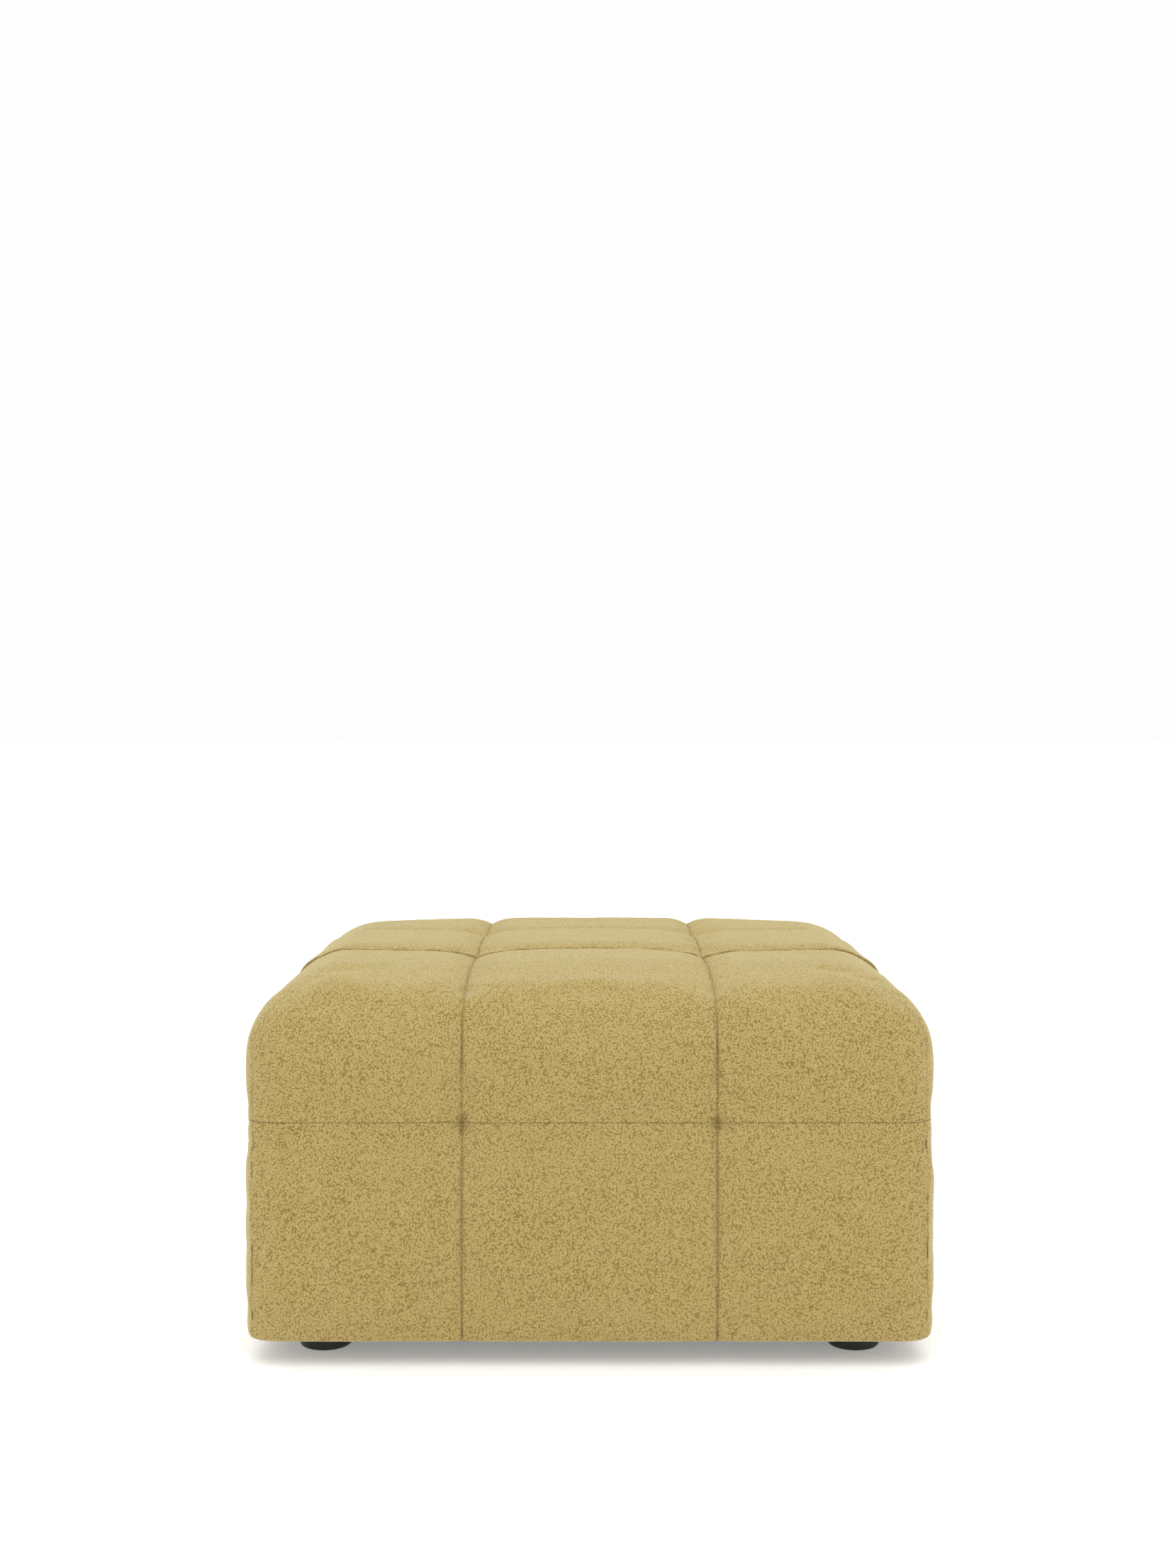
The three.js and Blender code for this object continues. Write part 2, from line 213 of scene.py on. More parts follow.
def curl_group():
    """Curled pile: small uneven curls with painted shade in the crevices between them, under a slow drift of colour.
    """
    tree, vector, scale, light, dark, made = two_tone_group(
        "Curled pile", "Scale", 290.0, (0.5, 0.4, 0.2), (0.2, 0.1, 0.05))
    fuzz = noise(tree, vector, product(tree, scale, 3.0), detail=1.0)
    curls = math_node(tree, "ADD", cells(tree, vector, product(tree, scale, 1.75), 0.92),
                      spread(tree, fuzz, 0.3, 0.7, -0.12, 0.12))
    worn = noise(tree, vector, product(tree, scale, 0.05), detail=2.0, roughness=0.6)
    calm = spread(tree, worn, 0.36, 0.62, 1.0, 0.93)
    # painted shade in the crevices between the curls, less of it on the calm patches
    crevice_shade = product(tree, spread(tree, curls, 0.34, 0.80), calm)
    shade = math_node(tree, "ADD", crevice_shade, spread(tree, fuzz, 0.35, 0.65, 0.07, -0.07), clamp=True)
    tint = spread(tree, noise(tree, vector, product(tree, scale, 0.045), detail=3.0), 0.35, 0.65)
    warm = mix_colour(tree, product(tree, tint, 0.15), light, (0.485, 0.360, 0.160, 1))
    height = math_node(tree, "SUBTRACT", product(tree, fuzz, 0.2), curls)
    return give_out(tree, made, Color=mix_colour(tree, shade, warm, dark), Height=height)


def weave_group():
    """Plain weave that shows on any face square to an axis."""
    tree, vector, threads, light, dark, made = two_tone_group(
        "Plain weave", "Threads", 900.0, (0.1, 0.1, 0.1), (0.01, 0.01, 0.01))
    apart = tree.nodes.new("ShaderNodeSeparateXYZ")
    tree.links.new(vector, apart.inputs[0])
    waves = [math_node(tree, "SINE", product(tree, product(tree, along, threads), math.pi))
             for along in apart.outputs]
    pairs = [product(tree, waves[i], waves[(i + 1) % 3]) for i in range(3)]
    crossed = math_node(tree, "ADD", math_node(tree, "ADD", pairs[0], pairs[1]), pairs[2])
    height = spread(tree, crossed, -1.0, 1.0)
    shade = product(tree, height, spread(tree, noise(tree, vector, 35.0, detail=4.0), 0.2, 0.8, 0.6, 1.0))
    return give_out(tree, made, Color=mix_colour(tree, shade, dark, light), Height=height)


def felt_group():
    """Pressed black cloth: tangled fibres with a grid of small bonded dots."""
    tree, vector, dots, light, dark, made = two_tone_group(
        "Pressed cloth", "Dots", 420.0, (0.05, 0.05, 0.05), (0.01, 0.01, 0.01))
    fibres = noise(tree, vector, 650.0, detail=4.0, roughness=0.7, distortion=2.5)
    raised = spread(tree, cells(tree, vector, dots, 0.15), 0.18, 0.42)
    height = math_node(tree, "ADD", product(tree, raised, 0.7), product(tree, fibres, 0.3))
    shade = product(tree, height, spread(tree, fibres, 0.25, 0.75))
    return give_out(tree, made, Color=mix_colour(tree, shade, dark, light), Height=height)


def grain_group():
    """Wood grain along the vector's first axis."""
    tree, vector, size, light, dark, made = two_tone_group(
        "Wood grain", "Rings", 60.0, (0.6, 0.45, 0.28), (0.4, 0.26, 0.14))
    stretched = tree.nodes.new("ShaderNodeMapping")
    stretched.inputs["Scale"].default_value = (0.07, 1.0, 1.0)
    tree.links.new(vector, stretched.inputs["Vector"])
    along = stretched.outputs["Vector"]
    rings = noise(tree, along, size, detail=3.0, roughness=0.6, distortion=0.6)
    fibres = noise(tree, along, 900.0, detail=2.0)
    bands = math_node(tree, "FRACT", product(tree, rings, 9.0))
    shade = math_node(tree, "ADD", product(tree, bands, 0.6), product(tree, fibres, 0.4))
    return give_out(tree, made, Color=mix_colour(tree, shade, light, dark), Height=fibres)


def speckle_group():
    """Fine unevenness of a moulded, plated or painted skin: colour, roughness and height."""
    tree, given, made = start_group(
        "Uneven skin",
        [("Vector", "NodeSocketVector", None), ("Scale", "NodeSocketFloat", 900.0),
         ("Color", "NodeSocketColor", (0.5, 0.5, 0.5, 1)), ("Worn", "NodeSocketColor", (0.6, 0.6, 0.6, 1)),
         ("Roughness", "NodeSocketFloat", 0.4), ("Spread", "NodeSocketFloat", 0.1)],
        [("Color", "NodeSocketColor"), ("Roughness", "NodeSocketFloat"), ("Height", "NodeSocketFloat")])
    vector = given.outputs["Vector"]
    fine = noise(tree, vector, given.outputs["Scale"], detail=2.0)
    broad = spread(tree, noise(tree, vector, 22.0, detail=4.0, roughness=0.65), 0.35, 0.7)
    swing = product(tree, math_node(tree, "SUBTRACT", broad, 0.5), given.outputs["Spread"])
    return give_out(
        tree, made, Color=mix_colour(tree, broad, given.outputs["Color"], given.outputs["Worn"]),
        Roughness=math_node(tree, "ADD", given.outputs["Roughness"], swing, clamp=True), Height=fine)


# ---- materials ---------------------------------------------------------------------------
def patterned(name, group, values, bump, metallic=0.0, roughness=0.9, turn=(0, 0, 0)):
    """A material whose colour and relief come from one shader group on Object coordinates."""
    material = bpy.data.materials.new(name)
    material.use_nodes = True
    tree = material.node_tree
    shader = tree.nodes["Principled BSDF"]
    place = tree.nodes.new("ShaderNodeTexCoord")
    mapping = tree.nodes.new("ShaderNodeMapping")
    mapping.inputs["Rotation"].default_value = turn
    tree.links.new(place.outputs["Object"], mapping.inputs["Vector"])
    pattern = tree.nodes.new("ShaderNodeGroup")
    pattern.node_tree = group
    tree.links.new(mapping.outputs["Vector"], pattern.inputs["Vector"])
    for label, value in values.items():
        pattern.inputs[label].default_value = value
    tree.links.new(pattern.outputs["Color"], shader.inputs["Base Color"])
    shader.inputs["Metallic"].default_value = metallic
    shader.inputs["Roughness"].default_value = roughness
    if "Roughness" in pattern.outputs:
        tree.links.new(pattern.outputs["Roughness"], shader.inputs["Roughness"])
    relief = tree.nodes.new("ShaderNodeBump")
    relief.inputs["Strength"].default_value = bump[0]
    relief.inputs["Distance"].default_value = bump[1]
    tree.links.new(pattern.outputs["Height"], relief.inputs["Height"])
    tree.links.new(relief.outputs["Normal"], shader.inputs["Normal"])
    return material


def paint_seam_shade(material):
    """Paints shade into the cloth's colour where its sewn lines draw it in, from the mesh's own attribute: partly the
    dark line of the seam, mostly the shade in its groove, at its crossings and down the corners.
    """
    tree = material.node_tree
    colour = tree.nodes["Principled BSDF"].inputs["Base Color"]
    drawn = tree.nodes.new("ShaderNodeAttribute")
    drawn.attribute_name = "sewn"
    tree.links.new(mix_colour(tree, drawn.outputs["Fac"], colour.links[0].from_socket, SEAM_SHADE_COLOUR), colour)


# colour of the painted shade in the seam grooves, at the seam crossings and down the corner seams
SEAM_SHADE_COLOUR = (0.150, 0.092, 0.022, 1)
# finish: name, rings, light, dark, bump strength, bump depth, roughness
WOODS = {
    "plywood": ("Birch plywood", 26.0, (0.66, 0.49, 0.30), (0.50, 0.34, 0.19), 0.25, 0.2 * MM, 0.6),
    "pine": ("Planed pine", 45.0, (0.74, 0.56, 0.32), (0.52, 0.33, 0.15), 0.3, 0.25 * MM, 0.65),
}
# finish: name, scale, colour, worn colour, roughness, its spread, bump strength, bump depth, metallic
SKINS = {
    "plastic": ("Black moulded plastic", 1400.0, (0.013, 0.013, 0.012), (0.020, 0.020, 0.019),
                0.46, 0.16, 0.25, 0.2 * MM, 0.0),
    "rubber": ("Bumper rubber", 1100.0, (0.016, 0.016, 0.016), (0.035, 0.034, 0.033),
               0.75, 0.15, 0.3, 0.2 * MM, 0.0),
    "zinc": ("Zinc plate", 700.0, (0.52, 0.53, 0.55), (0.66, 0.66, 0.65), 0.33, 0.2, 0.12, 0.1 * MM, 1.0),
    "enamel": ("Black enamel", 500.0, (0.016, 0.016, 0.018), (0.028, 0.028, 0.030),
               0.24, 0.1, 0.08, 0.1 * MM, 0.0),
    "chrome": ("Polished chrome", 400.0, (0.74, 0.75, 0.77), (0.80, 0.80, 0.81),
               0.10, 0.08, 0.03, 0.1 * MM, 1.0),
}


def two_tone(size, scale, light, dark):
    return {size: scale, "Light": rgba(light), "Dark": rgba(dark)}


def make_boucle(curls):
    given = cloth()
    boucle = patterned("Mustard boucle", curls, two_tone("Scale", 1 / given.curl, given.light, given.dark),
                       (0.65, 0.8 * MM), roughness=1.0)
    shader = boucle.node_tree.nodes["Principled BSDF"]
    shader.inputs["Sheen Weight"].default_value = 0.55
    shader.inputs["Sheen Roughness"].default_value = 0.45
    shader.inputs["Sheen Tint"].default_value = (1.0, 0.95, 0.62, 1)
    shader.inputs["Specular IOR Level"].default_value = 0.15
    paint_seam_shade(boucle)
    return boucle


def make_materials():
    """Every finish of the ottoman, by name."""
    curls, weave, felt, grain, speckle = (
        curl_group(), weave_group(), felt_group(), grain_group(), speckle_group())
    finishes = {
        "boucle": make_boucle(curls),
        "lining": patterned("Charcoal lining", weave, two_tone(
            "Threads", 900.0, (0.075, 0.070, 0.064), (0.018, 0.017, 0.016)), (0.5, 0.3 * MM), roughness=0.85),
        "dust": patterned("Black dust cloth", felt, two_tone(
            "Dots", 420.0, (0.050, 0.050, 0.052), (0.012, 0.012, 0.013)), (0.6, 0.25 * MM), roughness=0.8),
        "foam": patterned("Cut foam", curls, two_tone(
            "Scale", 900.0, (0.82, 0.76, 0.56), (0.58, 0.50, 0.32)), (0.5, 0.4 * MM)),
    }
    for label, turn in (("across", (0, 0, 0)), ("along", (0, 0, math.pi / 2))):
        for wood, (name, rings, light, dark, strength, depth, roughness) in WOODS.items():
            finishes[f"{wood}_{label}"] = patterned(
                f"{name} {label}", grain, two_tone("Rings", rings, light, dark), (strength, depth),
                roughness=roughness, turn=turn)
    for skin, (name, scale, plain, worn, roughness, swing, strength, depth, metallic) in SKINS.items():
        finishes[skin] = patterned(
            name, speckle,
            {"Scale": scale, "Color": rgba(plain), "Worn": rgba(worn), "Roughness": roughness, "Spread": swing},
            (strength, depth), metallic=metallic)
    return finishes


FINISH = {}


def finish(name):
    if not FINISH:
        FINISH.update(make_materials())
    return FINISH[name]


# ---- making pieces -----------------------------------------------------------------------
def to_object(bm, name, material, smooth=True):
    mesh = bpy.data.meshes.new(name)
    bm.to_mesh(mesh)
    bm.free()
    piece = bpy.data.objects.new(name, mesh)
    bpy.context.scene.collection.objects.link(piece)
    mesh.materials.append(material)
    mesh.polygons.foreach_set("use_smooth", [smooth] * len(mesh.polygons))
    return piece


def applied(piece):
    """The piece with its modifiers worked into its mesh."""
    graph = bpy.context.evaluated_depsgraph_get()
    mesh = bpy.data.meshes.new_from_object(
        piece.evaluated_get(graph), preserve_all_data_layers=True, depsgraph=graph)
    piece.modifiers.clear()
    old, piece.data = piece.data, mesh
    bpy.data.meshes.remove(old)
    return piece


def points_of(mesh):
    co = np.empty(len(mesh.vertices) * 3, np.float32)
    mesh.vertices.foreach_get("co", co)
    return co.reshape(-1, 3).astype(float)


def normals_of(mesh):
    no = np.empty(len(mesh.vertices) * 3, np.float32)
    mesh.vertex_normals.foreach_get("vector", no)
    return no.reshape(-1, 3).astype(float)


def put_points(mesh, co):
    mesh.vertices.foreach_set("co", co.astype(np.float32).ravel())
    mesh.update()


def grid_lines(low, high, seams, step, beside=(0.0, 1.6 * MM, 4 * MM, 9 * MM)):
    """Cuts between low and high: close together beside each seam, about a step apart elsewhere."""
    marks = {low, high}
    for seam in seams:
        marks |= {seam + side * gap for gap in beside for side in (-1, 1)}
    marks = sorted(m for m in marks if low <= m <= high)
    lines = []
    for a, b in zip(marks, marks[1:]):
        count = max(1, round((b - a) / step))
        lines += [a + (b - a) * i / count for i in range(1, count + 1)]
    return [line for line in lines if low + 1e-5 < line < high - 1e-5]


def cut_along(bm, axis, lines):
    """Cuts the whole mesh with planes square to one axis."""
    normal = Vector([float(i == axis) for i in range(3)])
    for line in lines:
        geometry = bm.verts[:] + bm.edges[:] + bm.faces[:]
        bmesh.ops.bisect_plane(bm, geom=geometry, dist=1e-6, plane_co=normal * line, plane_no=normal)


def cut_block(profile, seams, step):
    """A closed block from z = 0 that unrolls to the profile, cut into a grid with lines on the seams and rolls."""
    half, height = profile.block, profile.height
    bm = block((-half, -half, 0), (half, half, height), 0)
    flat, upright = profile.marks()
    for axis in (0, 1):
        lines = grid_lines(-half, half, (-seams[axis], seams[axis]), step)
        cut_along(bm, axis, merged(lines, flat + [-m for m in flat]))
    cut_along(bm, 2, merged(grid_lines(0.0, height, (), step * 0.85), upright))
    return bm


def merged(lines, marks):
    """The lines with the marks put in, and without the lines that crowd a mark."""
    kept = [line for line in lines if all(abs(line - mark) > 1.2 * MM for mark in marks)]
    return sorted(kept + marks)


def sewn(u, seam, wide, narrow):
    """Seam profile across its line: a soft valley with a tight groove in it."""
    d = np.abs(np.abs(u) - seam)
    return wide[0] * np.exp(-(d / wide[1]) ** 2) + narrow[0] * np.exp(-(d / narrow[1]) ** 2)


def smoothstep(value, low, high):
    t = np.clip((value - low) / (high - low), 0, 1)
    return t * t * (3 - 2 * t)


def spaced(marks):
    """The marks in order, without those that nearly repeat another."""
    kept = []
    for mark in sorted(marks):
        if not kept or mark - kept[-1] > 0.3 * MM:
            kept.append(mark)
    return kept


class Profile:
    """Outline from the middle of the underside out, up the side and in over the top."""

    def __init__(self, half, low, high, low_roll, high_roll):
        self.half, self.low, self.high = half, low, high
        self.low_roll, self.high_roll = low_roll, high_roll
        self.block = half - high_roll + high_roll * math.pi / 4
        b1 = half - low_roll + low_roll * math.pi / 2
        b2 = b1 + (high - high_roll) - (low + low_roll)
        b3 = b2 + high_roll * math.pi / 2
        self.total = b3 + half - high_roll
        self.height = self.total - 2 * self.block

    def marks(self):
        """Block coordinates of the lines that follow the rolls: distances from the middle, and heights."""
        flat, upright = [], []
        turn = self.half - self.low_roll
        over = self.total - (self.half - self.high_roll) - self.high_roll * math.pi / 2
        arcs = [(turn, self.low_roll), (self.half - EDGE_ROLL, EDGE_ROLL)]
        if self.high_roll < 20 * MM:
            arcs += [(over, self.high_roll), (self.total - self.half + EDGE_ROLL * (1 - math.pi / 2), EDGE_ROLL)]
        for start, radius in arcs:
            for share in (0, 0.25, 0.5, 0.75, 1):
                s = start + share * radius * math.pi / 2
                if s < self.block:
                    flat.append(s)
                elif s < self.block + self.height:
                    upright.append(s - self.block)
                else:
                    flat.append(2 * self.block + self.height - s)
        return spaced(flat), spaced([u for u in upright if 0.3 * MM < u < self.height - 0.3 * MM])

    def at(self, s, low_roll, high_roll):
        """Half-width and height at arc length s, for rolls that may vary from point to point."""
        half, low, high = self.half, self.low, self.high
        b0 = half - low_roll
        b1 = b0 + low_roll * math.pi / 2
        b2 = b1 + (high - high_roll) - (low + low_roll)
        b3 = b2 + high_roll * math.pi / 2
        s = s * (b3 + half - high_roll) / self.total
        under = np.clip((s - b0) / low_roll, 0, math.pi / 2)
        over = np.clip((s - b2) / high_roll, 0, math.pi / 2)
        wide = np.where(s < b0, s, half - low_roll + low_roll * np.sin(under))
        wide = np.where(s > b2, half - high_roll + high_roll * np.cos(over), wide)
        wide = np.where(s > b3, half - high_roll - (s - b3), wide)
        tall = np.where(s < b1, low + low_roll - low_roll * np.cos(under), low + low_roll + (s - b1))
        tall = np.where(s > b2, high - high_roll + high_roll * np.sin(over), tall)
        return wide, tall


def wrap(co, profile, seams, low_roll, high_roll, corner):
    """Block points laid on the profile. Gives the points and, for each, where it is in the sewing plan."""
    x, y, z = co.T
    m = np.maximum(np.abs(x), np.abs(y))
    on_top = z > profile.height - 1e-6
    s = np.where(on_top, profile.block + profile.height + profile.block - m, m + z)
    wide, tall = profile.at(s, low_roll, high_roll)

    def stretch(v, seam):
        beyond = seam + (np.abs(v) - seam) * (wide - seam) / np.maximum(m - seam, 1e-9)
        plain = np.abs(v) * np.where(m <= seam, wide / np.maximum(m, 1e-9), 1.0)
        return np.sign(v) * np.where((np.abs(v) > seam) & (m > seam + 1e-6), beyond, plain)

    qx, qy = stretch(x, seams[0]), stretch(y, seams[1])
    plan = np.stack([qx, qy, tall], 1)
    radius = np.minimum(corner(wide), 0.98 * wide)
    inner = wide - radius
    ax, ay = np.maximum(np.abs(qx) - inner, 0), np.maximum(np.abs(qy) - inner, 0)
    reach = np.hypot(ax, ay)
    pull = np.where((ax > 0) & (ay > 0), np.maximum(ax, ay) / np.maximum(reach, 1e-9), 1.0)
    px = np.where(ax > 0, np.sign(qx) * (inner + ax * pull), qx)
    py = np.where(ay > 0, np.sign(qy) * (inner + ay * pull), qy)
    return np.stack([px, py, tall], 1), plan


def settle(piece, pins, pressure, cap, frames=16):
    """Swells the cloth between its pinned seams with a short simulation, then works the result in."""
    if pressure == 0:
        return
    before = points_of(piece.data)
    group = piece.vertex_groups.new(name="pins")
    for weight in np.unique(pins[pins > 0]):
        group.add([int(i) for i in np.flatnonzero(pins == weight)], float(weight), "REPLACE")
    modifier = piece.modifiers.new("swell", "CLOTH")
    settings = modifier.settings
    settings.quality = 4
    settings.mass = 0.4
    settings.tension_stiffness = settings.compression_stiffness = 18
    settings.shear_stiffness = 6
    settings.bending_stiffness = 1.2
    settings.use_pressure = True
    settings.uniform_pressure_force = pressure
    settings.vertex_group_mass = "pins"
    settings.shrink_min = -0.012
    settings.effector_weights.gravity = 0
    modifier.collision_settings.use_collision = False
    modifier.point_cache.frame_start, modifier.point_cache.frame_end = 1, frames
    scene = bpy.context.scene
    for number in range(1, frames + 1):
        scene.frame_set(number)
    applied(piece)
    scene.frame_set(1)
    moved = points_of(piece.data) - before
    length = np.linalg.norm(moved, axis=1, keepdims=True)
    moved *= np.minimum(1, cap / np.maximum(length, 1e-12))
    put_points(piece.data, before + moved)
    piece.vertex_groups.clear()


def keep_plan(mesh, plan):
    """Stores the sewing plan on the mesh, so that smoothing carries it along."""
    for axis, label in enumerate("xyz"):
        column = mesh.attributes.new(f"plan_{label}", "FLOAT", "POINT")
        column.data.foreach_set("value", plan[:, axis].astype(np.float32))


def take_plan(mesh):
    """Reads the sewing plan back and removes it from the mesh."""
    columns = []
    for label in "xyz":
        values = np.empty(len(mesh.vertices), np.float32)
        mesh.attributes[f"plan_{label}"].data.foreach_get("value", values)
        columns.append(values.astype(float))
        mesh.attributes.remove(mesh.attributes[f"plan_{label}"])
    return np.stack(columns, 1)


def thicken(piece, thickness, offset):
    """Gives the cloth its thickness, worked in."""
    modifier = piece.modifiers.new("thickness", "SOLIDIFY")
    modifier.thickness, modifier.offset = thickness, offset
    return applied(piece)


def smooth_once(piece):
    """One level of Catmull-Clark smoothing, worked in."""
    modifier = piece.modifiers.new("smooth", "SUBSURF")
    modifier.levels = modifier.render_levels = 1
    return applied(piece)


def close_holes(piece):
    """Closes each open edge loop with one flat face."""
    bm = bmesh.new()
    bm.from_mesh(piece.data)
    made = bmesh.ops.holes_fill(bm, edges=[e for e in bm.edges if e.is_boundary], sides=0)["faces"]
    for face in made:
        face.smooth = False
    bm.to_mesh(piece.data)
    bm.free()


def lumps(points, scale, seed):
    """Soft pseudo-random height from crossed waves, the same on each run."""
    rng = np.random.default_rng(seed)
    total = np.zeros(len(points))
    for _ in range(14):
        direction = rng.normal(size=3)
        direction *= 2 * math.pi / scale / np.linalg.norm(direction) * rng.uniform(0.6, 1.5)
        total += np.sin(points @ direction + rng.uniform(0, 2 * math.pi))
    return total / 14 ** 0.5


# ---- the lid's cushion and the box's cover --------------------------------------------------
def back_weight(plan):
    """1 along the back edge, 0 elsewhere, turning over at the back corners."""
    return smoothstep(plan[:, 1] - np.abs(plan[:, 0]), -0.03, 0.01)


def flat_back(points):
    """Draws the back wall in to the frame, so that the lid can swing clear of the box."""
    points[:, 1] -= padding().puff * smoothstep(points[:, 1], HALF / 2, HALF)
    return points


def inset(plan, near, far):
    """1 further in from the edge than far, 0 nearer to it than near."""
    return 1 - smoothstep(np.maximum(np.abs(plan[:, 0]), np.abs(plan[:, 1])), HALF - far, HALF - near)


def crossing_dip(plan, seams, deep, wide):
    """Pinch where an upright seam meets the parting line."""
    total = 0
    for axis in (0, 1):
        along = np.abs(np.abs(plan[:, axis]) - seams[axis])
        on_face = np.abs(plan[:, 1 - axis]) > HALF - 0.03
        total = total + np.where(on_face, deep / (1 + (np.hypot(along, plan[:, 2] - SEAM_Z) / wide) ** 2), 0)
    return total


def clear_knuckles(points, above):
    """Makes room round the hinge knuckles and their leaves in the back edge."""
    for side in ("left", "right"):
        low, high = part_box(f"hinge_{side}_pin")
        beyond = np.maximum(np.maximum(low.x - points[:, 0], points[:, 0] - high.x), 0)
        weight = 1 - smoothstep(beyond, 0.5 * MM, 7 * MM)
        flat = (points[:, 1] > HINGE.y - 28 * MM) & (points[:, 1] < HINGE.y)
        level = SEAM_Z + (2 if above else -2) * MM
        missing = level - points[:, 2]
        short = np.where(flat, np.maximum(missing, 0) if above else np.minimum(missing, 0), 0)
        points[:, 2] += short * weight
        away = points[:, 1:] - (HINGE.y, HINGE.z)
        reach = np.linalg.norm(away, axis=1)
        push = np.maximum(5.4 * MM - reach, 0) * weight
        points[:, 1:] += away / np.maximum(reach, 1e-6)[:, None] * push[:, None]
    return points


def sewn_groove(plan, seams, soft, tight, tight_across):
    return sewn(plan[:, 0], seams[0], soft, tight) + sewn(plan[:, 1], seams[1], soft, tight_across)


def mark_seam_shade(mesh, plan, seams):
    """Stores how much painted shade each point gets, from how far it is drawn in by a sewn line, for the finish."""
    # painted shade: in the seam grooves (stronger along the cross seams on top), in the pinches where the seams cross
    # the parting line and down the corner seams
    near = sewn(plan[:, 0], seams[0], (0.03, 5 * MM), (0.20, 1.0 * MM))
    near = np.maximum(near, sewn(plan[:, 1], seams[1], (0.0, 5 * MM), (0.75, 1.8 * MM))
                      * (0.2 + 0.8 * (plan[:, 2] > LID_HIGH.z - 0.03)))
    near = np.maximum(near, crossing_dip(plan, seams, 1.0, 3.6 * MM))
    near = np.maximum(near, corner_groove(plan, 0.25, 1.6 * MM))
    mesh.attributes.new("sewn", "FLOAT", "POINT").data.foreach_set("value", near.astype(np.float32))


def corner_groove(plan, deep, wide):
    """Groove down each upright corner."""
    across = np.abs(plan[:, 0]) - np.abs(plan[:, 1])
    return deep * np.exp(-(across / wide) ** 2) * (np.abs(plan[:, 0]) > HALF - 0.06)


def moved_along(piece, amount):
    """Moves each point of the piece along its normal."""
    put_points(piece.data, points_of(piece.data) + normals_of(piece.data) * amount[:, None])


def faces_within(bm, side, reach):
    """Faces that look straight up (side 1) or down (-1) and lie within reach of the middle."""
    return [f for f in bm.faces if f.normal.z * side > 0.9
            and max(abs(c) for c in f.calc_center_median()[:2]) < reach]


def seam_pins(plan, seams):
    """1 on the sewn grid, 0 elsewhere."""
    off = np.abs(np.abs(plan[:, :2]) - seams)
    return (off < SEAM_WIDTH).any(axis=1).astype(float)


def on_diagonal(plan):
    return np.abs(np.abs(plan[:, 0]) - np.abs(plan[:, 1])) < SEAM_WIDTH


